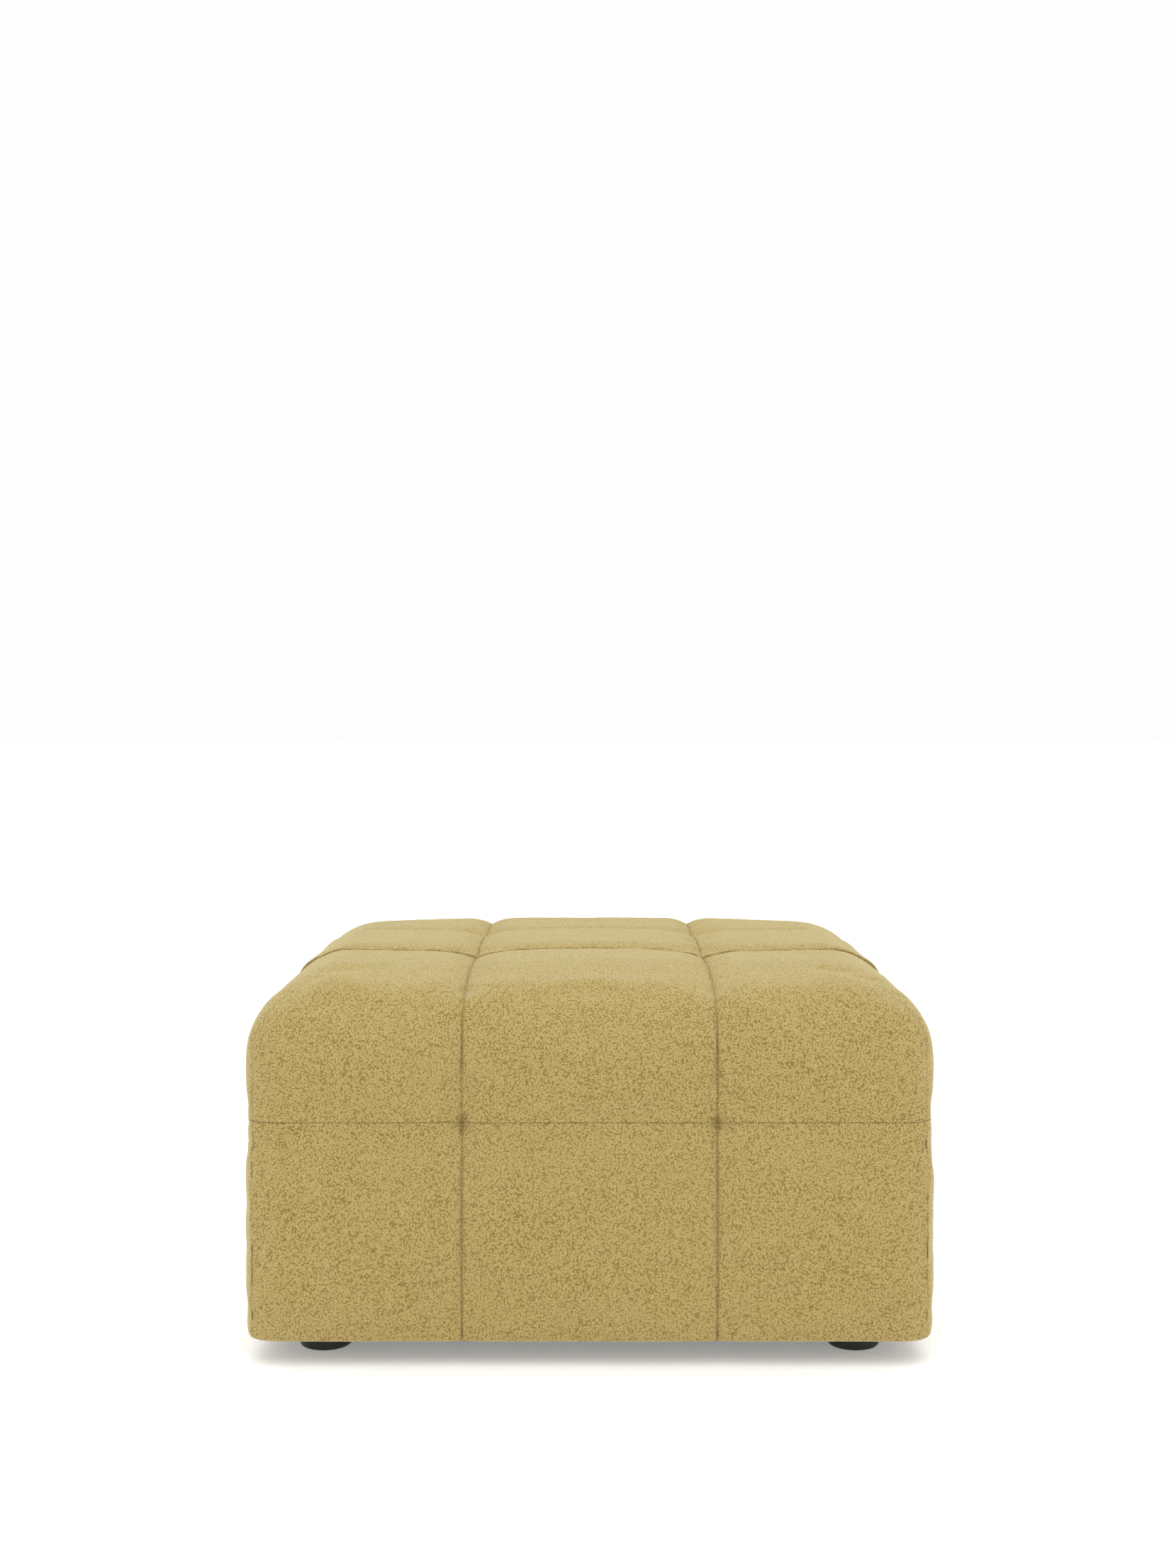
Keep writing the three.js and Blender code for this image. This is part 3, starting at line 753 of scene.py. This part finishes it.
class OTTOMAN_OT_lid(bpy.types.Operator):
    """Sew and fill the lid's cushion"""
    bl_idname = "ottoman.lid"
    bl_label = "Lid cushion"

    def execute(self, context):
        pad = padding()
        seams = (pad.seam_x, pad.seam_y)
        profile = Profile(
            HALF + pad.puff, SEAM_Z + PARTING_GAP, LID_HIGH.z + pad.crown, pad.parting, pad.shoulder)
        bm = cut_block(profile, seams, pad.step)
        bmesh.ops.delete(bm, geom=faces_within(bm, -1, HALF - 45 * MM), context="FACES")
        piece = to_object(bm, "lid_upholstery", finish("boucle"))
        co = points_of(piece.data)
        low_roll = pad.parting + (EDGE_ROLL - pad.parting) * back_weight(co)

        def corner(wide):
            beyond = profile.half - wide
            return np.maximum(np.where(beyond > pad.shoulder, pad.corner + pad.shoulder
                                       - 1.3 * (beyond - pad.shoulder), pad.corner + beyond), 0)

        points, plan = wrap(co, profile, seams, low_roll, pad.shoulder, corner)
        put_points(piece.data, flat_back(points))
        moved_along(piece, self.rise(plan, seams))
        points = points_of(piece.data)
        depth = HALF - np.abs(plan[:, 1])
        top = smoothstep(plan[:, 2], LID_HIGH.z - 0.055, LID_HIGH.z - 0.01)
        sag = smoothstep(depth, 0.008, 0.05) * (1 - smoothstep(depth, 0.055, 0.175))
        sag *= smoothstep(HALF - np.abs(plan[:, 0]) + 0.05 * (plan[:, 1] > 0), 0.07, 0.15)
        points[:, 2] -= pad.sag * sag * top
        put_points(piece.data, points)
        keep_plan(piece.data, plan)
        settle(piece, self.pins(plan, seams), pad.pressure, pad.cap)
        smooth_once(piece)
        self.dress(piece, seams)
        close_holes(piece)
        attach(piece, "lid")
        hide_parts("lid_cover")
        return {"FINISHED"}

    def rise(self, plan, seams):
        """How far the cushion stands off its plain shape: drawn in along its sewn lines, lower at the sides."""
        x, y, z = plan.T
        dx, dy = np.abs(np.abs(x) - seams[0]), np.abs(np.abs(y) - seams[1])
        upper = smoothstep(z, LID_HIGH.z - 0.08, LID_HIGH.z - 0.01)
        tug = 8.3 * MM / (1 + (dx ** 2 + dy ** 2) / (44 * MM) ** 2)
        tug += 2.6 * MM * np.exp(-(dx / (8 * MM)) ** 2)
        corner = smoothstep(y, 0.19, 0.33) * smoothstep(np.abs(x), 0.24, 0.36)
        tug += 10 * MM * corner
        tug += 2.2 * MM * smoothstep(np.abs(x), seams[0], seams[0] + 0.09)
        return -tug * upper

    def pins(self, plan, seams):
        """Sewn lines, the corner seams, the back and the underside hold still."""
        x, y, z = plan.T
        held = seam_pins(plan, seams)
        held[on_diagonal(plan) & (np.abs(x) > HALF - 0.09)] = 0.9
        held[z < SEAM_Z + 8 * MM] = 1.0
        held[(y > HALF - 2 * MM) & (z < SEAM_Z + 50 * MM)] = 1.0
        return held

    def dress(self, piece, seams):
        """Tight grooves, pinches, the turned-under edge and a little unevenness."""
        plan = take_plan(piece.data)
        mark_seam_shade(piece.data, plan, seams)
        y, z = plan[:, 1:].T
        under = z < SEAM_Z + 1 * MM
        outside = smoothstep(z, SEAM_Z + 0.2 * MM, SEAM_Z + 5 * MM)
        upper = smoothstep(z, LID_HIGH.z - 0.05, LID_HIGH.z - 0.02)
        groove = sewn_groove(plan, seams, (0.9 * MM, 7 * MM), (2.2 * MM, 1.3 * MM), (5.0 * MM, 1.5 * MM))
        groove -= 3.0 * MM * upper * smoothstep(seams[1] - np.abs(y), 0.2 * MM, 2.6 * MM)
        below = 1 - smoothstep(z, LID_HIGH.z - 0.06, LID_HIGH.z - 0.02)
        groove += corner_groove(plan, 0.7 * MM, 3.5 * MM) * below
        groove += crossing_dip(plan, seams, 5.5 * MM, 7 * MM)
        uneven = 0.22 * MM * lumps(plan, 0.07, 3) + 0.10 * MM * lumps(plan, 0.024, 5)
        moved_along(piece, (uneven - groove) * outside)
        points = points_of(piece.data)
        tucked = 1.9 * MM * inset(plan, 5 * MM, 17 * MM) + 1.1 * MM * inset(plan, 21 * MM, 29 * MM)
        points[:, 2] += under * tucked
        put_points(piece.data, clear_knuckles(points, above=True))


class OTTOMAN_OT_box(bpy.types.Operator):
    """Sew the padded cover round the box"""
    bl_idname = "ottoman.box"
    bl_label = "Box cover"
    COARSER = 1.35              # the box's grid step, as a share of the lid's
    HANGS = 2.2 * MM            # how far the cover hangs below the frame's

    def execute(self, context):
        pad = padding()
        seams = (pad.seam_x, pad.seam_y)
        self.low = BOX_LOW.z - self.HANGS
        profile = Profile(HALF + pad.puff, self.low, SEAM_Z - PARTING_GAP, EDGE_ROLL, pad.parting)
        bm = cut_block(profile, seams, self.COARSER * pad.step)
        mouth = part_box("base_right_panel")[0].x + 1 * MM
        open_faces = faces_within(bm, 1, mouth - 4 * MM) + faces_within(bm, -1, HALF - 50 * MM)
        bmesh.ops.delete(bm, geom=open_faces, context="FACES")
        piece = to_object(bm, "box_upholstery", finish("boucle"))
        co = points_of(piece.data)
        high_roll = pad.parting + (EDGE_ROLL - pad.parting) * back_weight(co)

        def corner(wide):
            return np.maximum(pad.corner - 0.8 * (profile.half - wide), 2 * MM)

        points, plan = wrap(co, profile, seams, EDGE_ROLL, high_roll, corner)
        put_points(piece.data, flat_back(points))
        up = np.clip((plan[:, 2] - self.low) / (SEAM_Z - self.low), 0, 1)
        moved_along(piece, 1.8 * MM * np.sin(up * math.pi) * (1 - back_weight(plan)))
        keep_plan(piece.data, plan)
        settle(piece, self.pins(plan, seams), pad.pressure * 0.6, pad.cap * 0.4)
        smooth_once(piece)
        self.dress(piece, seams)
        self.turn_in(piece, mouth)
        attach(piece, "box")
        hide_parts("base_cover")
        return {"FINISHED"}

    def pins(self, plan, seams):
        """Sewn lines, the corner seams, the rim, the foot and the top of the back hold still."""
        y, z = plan[:, 1:].T
        held = seam_pins(plan, seams)
        held[on_diagonal(plan)] = 0.9
        held[(z > SEAM_Z - EDGE_ROLL) | (z < self.low + 12 * MM)] = 1.0
        held[(y > HALF - 2 * MM) & (z > SEAM_Z - 50 * MM)] = 1.0
        return held

    def dress(self, piece, seams):
        """Tight grooves, notches at the foot of each seam, the rim and a little unevenness."""
        plan = take_plan(piece.data)
        mark_seam_shade(piece.data, plan, seams)
        x, y, z = plan.T
        over = z > SEAM_Z - 1 * MM
        upright = smoothstep(z, self.low - 0.5 * MM, self.low + 3 * MM)
        upright *= 1 - smoothstep(z, SEAM_Z - 5 * MM, SEAM_Z - 0.2 * MM)
        groove = sewn_groove(plan, seams, (1.2 * MM, 10 * MM), (2.4 * MM, 1.3 * MM), (2.4 * MM, 1.3 * MM))
        groove *= 1 + 1.2 * np.exp(-(np.maximum(z - self.low, 0) / (16 * MM)) ** 2)
        groove += corner_groove(plan, 0.7 * MM, 3.5 * MM) + crossing_dip(plan, seams, 5.5 * MM, 7 * MM)
        fade = np.minimum(np.abs(x), np.abs(y)) / HALF
        groove += 0.8 * MM * np.exp(-((z - SEAM_Z + 25 * MM) / (5 * MM)) ** 2) * smoothstep(fade, 0.55, 0.95)
        uneven = 0.35 * MM * lumps(plan, 0.08, 7) + 0.16 * MM * lumps(plan, 0.026, 9)
        moved_along(piece, (uneven - groove) * upright)
        points = points_of(piece.data)
        points[:, 2] -= over * 1.9 * MM * inset(plan, 5 * MM, 17 * MM)
        points[:, 2] += (z < self.low + 1 * MM) * 2.5 * MM * inset(plan, 12 * MM, 26 * MM)
        put_points(piece.data, clear_knuckles(points, above=False))

    def turn_in(self, piece, mouth):
        """Folds the cloth down inside the mouth, then gives it its thickness."""
        bm = bmesh.new()
        bm.from_mesh(piece.data)
        edge = [e for e in bm.edges if e.is_boundary and e.verts[0].co.z > SEAM_Z - 20 * MM]
        for drop, inward in ((2.0 * MM, 1.6 * MM), (9 * MM, 0.6 * MM), (9 * MM, 0.0), (8 * MM, -0.4 * MM)):
            made = bmesh.ops.extrude_edge_only(bm, edges=edge)["geom"]
            verts = [g for g in made if isinstance(g, bmesh.types.BMVert)]
            for vert in verts:
                for axis in (0, 1):
                    if abs(vert.co[axis]) > mouth - 8 * MM:
                        vert.co[axis] -= math.copysign(inward, vert.co[axis])
                vert.co.z -= drop
            edge = [g for g in made if isinstance(g, bmesh.types.BMEdge) and all(v in verts for v in g.verts)]
        bm.to_mesh(piece.data)
        bm.free()
        piece.data.polygons.foreach_set("use_smooth", [True] * len(piece.data.polygons))
        thicken(piece, 1.2 * MM, -1)


# ---- foam, cloths and fittings ---------------------------------------------------------------
def block(low, high, round_edges, segments=3):
    """A box between two corners with rounded edges, as a bmesh."""
    bm = bmesh.new()
    bmesh.ops.create_cube(bm, size=1.0)
    size = [b - a for a, b in zip(low, high)]
    bmesh.ops.transform(bm, verts=bm.verts, matrix=Matrix.Diagonal((*size, 1)))
    bmesh.ops.translate(bm, verts=bm.verts, vec=[(a + b) / 2 for a, b in zip(low, high)])
    if round_edges:
        bmesh.ops.bevel(bm, geom=bm.edges[:], offset=round_edges, offset_type="OFFSET", segments=segments,
                        profile=0.5, affect="EDGES", material=-1)
    return bm


def spun(profile, steps, matrix):
    """A body of revolution about Z from (radius, height) pairs, then placed by the matrix, as a bmesh."""
    bm = bmesh.new()
    verts = [bm.verts.new((radius, 0, height)) for radius, height in profile]
    edges = [bm.edges.new(pair) for pair in zip(verts, verts[1:])]
    bmesh.ops.spin(bm, geom=verts + edges, cent=(0, 0, 0), axis=(0, 0, 1), angle=2 * math.pi, steps=steps)
    bmesh.ops.remove_doubles(bm, verts=bm.verts, dist=1e-6)
    bmesh.ops.recalc_face_normals(bm, faces=bm.faces)
    bmesh.ops.transform(bm, verts=bm.verts, matrix=matrix)
    return bm


def crisp(piece, width, segments=2):
    """Small bevels on the sharp edges, so that they catch the light."""
    modifier = piece.modifiers.new("edges", "BEVEL")
    modifier.width, modifier.segments = width, segments
    modifier.limit_method, modifier.angle_limit = "ANGLE", math.radians(35)
    return piece


def stand_in(piece, body, node):
    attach(piece, body)
    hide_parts(*([node] if isinstance(node, str) else node))
    return piece


class OTTOMAN_OT_foam(bpy.types.Operator):
    """Cut the foam pads that fill the lid and the box cover"""
    bl_idname = "ottoman.foam"
    bl_label = "Foam"

    def execute(self, context):
        reach = HALF - 13 * MM
        for part, low_z, high_z in (("base", 36 * MM, 270 * MM), ("lid", 292 * MM, 327 * MM)):
            for side in SIDES:
                self.pad(f"{part}_{side}_pad", "box" if part == "base" else "lid", reach, low_z, high_z, 3 * MM)
        self.pad("lid_foam_core", "lid", reach - 6 * MM, 329 * MM, 372 * MM, 8 * MM)
        self.pad("lid_top_pad", "lid", reach - 52 * MM, 372.5 * MM, 418 * MM, 18 * MM)
        return {"FINISHED"}

    def pad(self, node, body, reach, low_z, high_z, edge):
        low, high = (Vector(corner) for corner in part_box(node))
        for axis in (0, 1):
            low[axis] = max(low[axis], -reach)
            high[axis] = min(high[axis], reach)
        low.z, high.z = low_z, high_z
        edge = min(edge, 0.3 * min(high - low))
        piece = to_object(block(low, high, edge), f"{node}_foam", finish("foam"))
        stand_in(piece, body, node)


def flat_cloth(name, half, z, thickness, material, sag, seed):
    """A square of cloth at height z with a folded hem and faint ripples."""
    bm = bmesh.new()
    bmesh.ops.create_grid(bm, x_segments=2, y_segments=2, size=half)
    for axis in (0, 1):
        cut_along(bm, axis, merged(grid_lines(-half, half, (), 18 * MM), [-half + 14 * MM, half - 14 * MM]))
    for vert in bm.verts:
        edge = half - max(abs(vert.co.x), abs(vert.co.y))
        vert.co.z = z + (0.25 * MM if edge < 13 * MM else 0) * math.copysign(1, sag)
        inner = min(max(edge - 20 * MM, 0) / (60 * MM), 1)
        vert.co.z += sag * inner * (0.5 + 0.5 * math.sin(vert.co.x * 31 + seed) * math.cos(vert.co.y * 27 + seed))
    return thicken(to_object(bm, name, material), thickness, 0)


def staples(name, half, z, body, spacing=62 * MM):
    """A row of wire staples round a square of cloth, as one piece."""
    whole = bmesh.new()
    count = int(2 * half / spacing)
    for side in range(4):
        turn = Matrix.Rotation(side * math.pi / 2, 4, "Z")
        for number in range(count):
            along = -half + (number + 0.5) * 2 * half / count
            tilt = Matrix.Rotation(math.radians((number * 37 + side * 19) % 24 - 12), 4, "Z")
            wire = block((-5.5 * MM, -0.5 * MM, -0.25 * MM), (5.5 * MM, 0.5 * MM, 0.25 * MM), 0.2 * MM, 2)
            place = turn @ Matrix.Translation((along, -half + 7 * MM, z)) @ tilt
            bmesh.ops.transform(wire, verts=wire.verts, matrix=place)
            mesh = bpy.data.meshes.new("wire")
            wire.to_mesh(mesh)
            wire.free()
            whole.from_mesh(mesh)
            bpy.data.meshes.remove(mesh)
    piece = to_object(whole, name, finish("zinc"), smooth=False)
    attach(piece, body)
    return piece


class OTTOMAN_OT_cloths(bpy.types.Operator):
    """Staple the dust cloths on and hang the bin lining"""
    bl_idname = "ottoman.cloths"
    bl_label = "Cloths and lining"

    def execute(self, context):
        low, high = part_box("lid_underside_cloth")
        middle = (low.z + high.z) / 2
        under = flat_cloth("lid_dust_cloth", high.x, middle + 0.1 * MM, 0.5 * MM, finish("dust"), 0.25 * MM, 1.0)
        stand_in(under, "lid", "lid_underside_cloth")
        staples("lid_cloth_staples", high.x, low.z - 0.05 * MM, "lid")
        low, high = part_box("bottom_cloth")
        bottom = flat_cloth("bottom_dust_cloth", high.x, high.z - 0.35 * MM, 0.5 * MM, finish("dust"), -0.35 * MM, 2.0)
        stand_in(bottom, "box", "bottom_cloth")
        staples("bottom_cloth_staples", high.x, high.z - 0.9 * MM, "box")
        self.lining()
        return {"FINISHED"}

    def lining(self):
        """An open bag of cloth down the sides and over the floor of the bin."""
        low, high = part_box("bin_lining")
        bm = block(low, (high.x, high.y, high.z), 0)
        bmesh.ops.delete(bm, geom=[f for f in bm.faces if f.normal.z > 0.9], context="FACES")
        upright = [e for e in bm.edges if abs(e.verts[0].co.z - e.verts[1].co.z) > 0.1]
        bmesh.ops.bevel(bm, geom=upright, offset=9 * MM, offset_type="OFFSET", segments=4, profile=0.5,
                        affect="EDGES", material=-1)
        for axis in (0, 1):
            cut_along(bm, axis, grid_lines(low[axis], high[axis], (), 16 * MM))
        cut_along(bm, 2, merged(grid_lines(low.z, high.z, (), 12 * MM), [low.z + 3 * MM, high.z - 13 * MM]))
        for vert in bm.verts:
            x, y, z = vert.co
            up = (z - low.z) / (high.z - low.z)
            wall = max(abs(x), abs(y)) > high.x - 12 * MM
            if wall:
                ripple = 0.9 * MM * (0.5 + 0.5 * math.sin(x * 41 + y * 37 + 3.1 * z))
                ripple *= math.sin(math.pi * min(up * 1.1, 1))
                vert.co.x -= math.copysign(ripple, x) * (abs(x) > abs(y))
                vert.co.y -= math.copysign(ripple, y) * (abs(y) >= abs(x))
            else:
                vert.co.z += 0.5 * MM * (0.5 + 0.5 * math.sin(x * 33) * math.sin(y * 29 + 1))
        piece = thicken(to_object(bm, "bin_lining_cloth", finish("lining")), 1.0 * MM, -1)
        stand_in(piece, "box", "bin_lining")


class OTTOMAN_OT_feet(bpy.types.Operator):
    """Turn the moulded feet, each with a well for its screw"""
    bl_idname = "ottoman.feet"
    bl_label = "Feet"

    def execute(self, context):
        for where in CORNERS:
            low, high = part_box(f"foot_{where}")
            radius, top = (high.x - low.x) / 2, high.z
            place = Matrix.Translation(((low.x + high.x) / 2, (low.y + high.y) / 2, 0))
            # up from the screw's well, out over the sole, up the side and in over the top
            outline = [(9.4 * MM, 12 * MM), (9.4 * MM, 1.2 * MM), (10.2 * MM, 0), (radius - 4.2 * MM, 0),
                       (radius - 2.4 * MM, 0.5 * MM), (radius - 1.2 * MM, 1.7 * MM), (radius - 0.7 * MM, 3.4 * MM),
                       (radius + 0.3 * MM, top - 4 * MM), (radius + 0.5 * MM, top - 1.6 * MM),
                       (radius + 0.1 * MM, top - 0.4 * MM), (radius - 0.9 * MM, top),
                       (3.3 * MM, top), (3.3 * MM, 12 * MM), (9.4 * MM, 12 * MM)]
            piece = to_object(spun(outline, 72, place), f"foot_{where}_moulding", finish("plastic"))
            crisp(piece, 0.35 * MM)
            stand_in(piece, "box", f"foot_{where}")
        return {"FINISHED"}


class OTTOMAN_OT_fittings(bpy.types.Operator):
    """Finish the hinges, struts, bumpers and the wooden frame"""
    bl_idname = "ottoman.fittings"
    bl_label = "Fittings and frame"

    WOOD = {
        "plywood_across": ("base_front_panel", "base_back_panel", "base_floor_panel", "lid_deck"),
        "plywood_along": ("base_left_panel", "base_right_panel"),
        "pine_across": ("hinge_batten", "lid_front_rail", "lid_back_rail"),
        "pine_along": ("floor_centre_rail", "lid_left_rail", "lid_right_rail", "lid_cross_rail"),
    }

    def execute(self, context):
        for name, nodes in self.WOOD.items():
            for node in nodes:
                self.paint(node, name, 0.8 * MM)
        for where in CORNERS:
            self.paint(f"foot_block_{where}", "pine_across", 0.8 * MM)
            self.paint(f"foot_screw_{where}", "zinc", 0.2 * MM)
        for side in ("left", "right"):
            for part in ("box_leaf", "lid_leaf", "pin"):
                self.paint(f"hinge_{side}_{part}", "zinc", 0.2 * MM)
            for part in ("box_bracket", "lid_bracket"):
                self.paint(f"strut_{side}_{part}", "zinc", 0.25 * MM)
            self.paint(f"strut_{side}_tube", "enamel", 0.25 * MM)
            self.paint(f"strut_{side}_rod", "chrome", 0.2 * MM)
            self.paint(f"rim_bumper_{side}", "rubber", 0.4 * MM)
        return {"FINISHED"}

    def paint(self, node, name, edge):
        piece = frame["nodes"][node]
        for slot in piece.material_slots:
            slot.material = finish(name)
        crisp(piece, edge)


# ---- stage -------------------------------------------------------------------------------
class OTTOMAN_OT_stage(bpy.types.Operator):
    """Pale floor, soft light and the camera"""
    bl_idname = "ottoman.stage"
    bl_label = "Stage"

    def execute(self, context):
        scene = context.scene
        given = scene.ottoman_stage
        self.floor(given)
        self.sky(scene)
        self.soft_sun((0.0, -0.12, 1.0), 1.2)
        camera = bpy.data.cameras.new("camera")
        camera.lens, camera.sensor_width = given.lens, 36.0
        camera.shift_y = given.shift
        viewer = bpy.data.objects.new("camera", camera)
        viewer.location = (-2 * MM, -HALF - given.distance, given.height)
        viewer.rotation_euler = (math.pi / 2, 0, 0)
        scene.collection.objects.link(viewer)
        scene.camera = viewer
        scene.view_settings.view_transform = "Standard"
        return {"FINISHED"}

    def floor(self, given):
        bm = bmesh.new()
        bmesh.ops.create_grid(bm, x_segments=8, y_segments=8, size=60.0)
        floor = to_object(bm, "floor", bpy.data.materials.new("Pale floor"), smooth=False)
        floor.data.materials[0].use_nodes = True
        shader = floor.data.materials[0].node_tree.nodes["Principled BSDF"]
        shader.inputs["Base Color"].default_value = (0.86, 0.86, 0.86, 1)
        shader.inputs["Roughness"].default_value = 0.7
        shader.inputs["Specular IOR Level"].default_value = 0.1
        shader.inputs["Emission Color"].default_value = (1, 1, 1, 1)
        shader.inputs["Emission Strength"].default_value = given.glow

    def sky(self, scene):
        world = bpy.data.worlds.new("studio")
        scene.world = world
        world.use_nodes = True
        world.node_tree.nodes["Background"].inputs["Color"].default_value = (1, 1, 1, 1)
        world.node_tree.nodes["Background"].inputs["Strength"].default_value = 0.985

    def soft_sun(self, towards, strength):
        """One wide soft light that shines from the given direction."""
        light = bpy.data.lights.new("overhead", "SUN")
        light.angle, light.energy = math.radians(70), strength
        lamp = bpy.data.objects.new("overhead", light)
        lamp.rotation_euler = Vector(towards).to_track_quat("Z", "Y").to_euler()
        bpy.context.scene.collection.objects.link(lamp)


# ---- panel and registration --------------------------------------------------------------
class OTTOMAN_PT_sidebar(bpy.types.Panel):
    """Lists the steps that make the ottoman"""
    bl_label = "Storage ottoman"
    bl_idname = "OTTOMAN_PT_sidebar"
    bl_space_type = "VIEW_3D"
    bl_region_type = "UI"
    bl_category = "Ottoman"

    def draw(self, context):
        for operator in OPERATORS:
            self.layout.operator(operator.bl_idname)
        for settings in (context.scene.ottoman_cloth, context.scene.ottoman_padding, context.scene.ottoman_stage):
            box = self.layout.box()
            for name in settings.__annotations__:
                box.prop(settings, name)


SETTINGS = {"ottoman_cloth": OttomanCloth, "ottoman_padding": OttomanPadding, "ottoman_stage": OttomanStage}
OPERATORS = (OTTOMAN_OT_stage, OTTOMAN_OT_lid, OTTOMAN_OT_box, OTTOMAN_OT_foam, OTTOMAN_OT_cloths,
             OTTOMAN_OT_feet, OTTOMAN_OT_fittings)


def register():
    for name, settings in SETTINGS.items():
        bpy.utils.register_class(settings)
        setattr(bpy.types.Scene, name, bpy.props.PointerProperty(type=settings))
    for operator in OPERATORS:
        bpy.utils.register_class(operator)
    bpy.utils.register_class(OTTOMAN_PT_sidebar)


def unregister():
    bpy.utils.unregister_class(OTTOMAN_PT_sidebar)
    for operator in reversed(OPERATORS):
        bpy.utils.unregister_class(operator)
    for name, settings in SETTINGS.items():
        delattr(bpy.types.Scene, name)
        bpy.utils.unregister_class(settings)


def main():
    register()
    for operator in OPERATORS:
        group, name = operator.bl_idname.split(".")
        getattr(getattr(bpy.ops, group), name)()


if __name__ == "__main__":
    main()
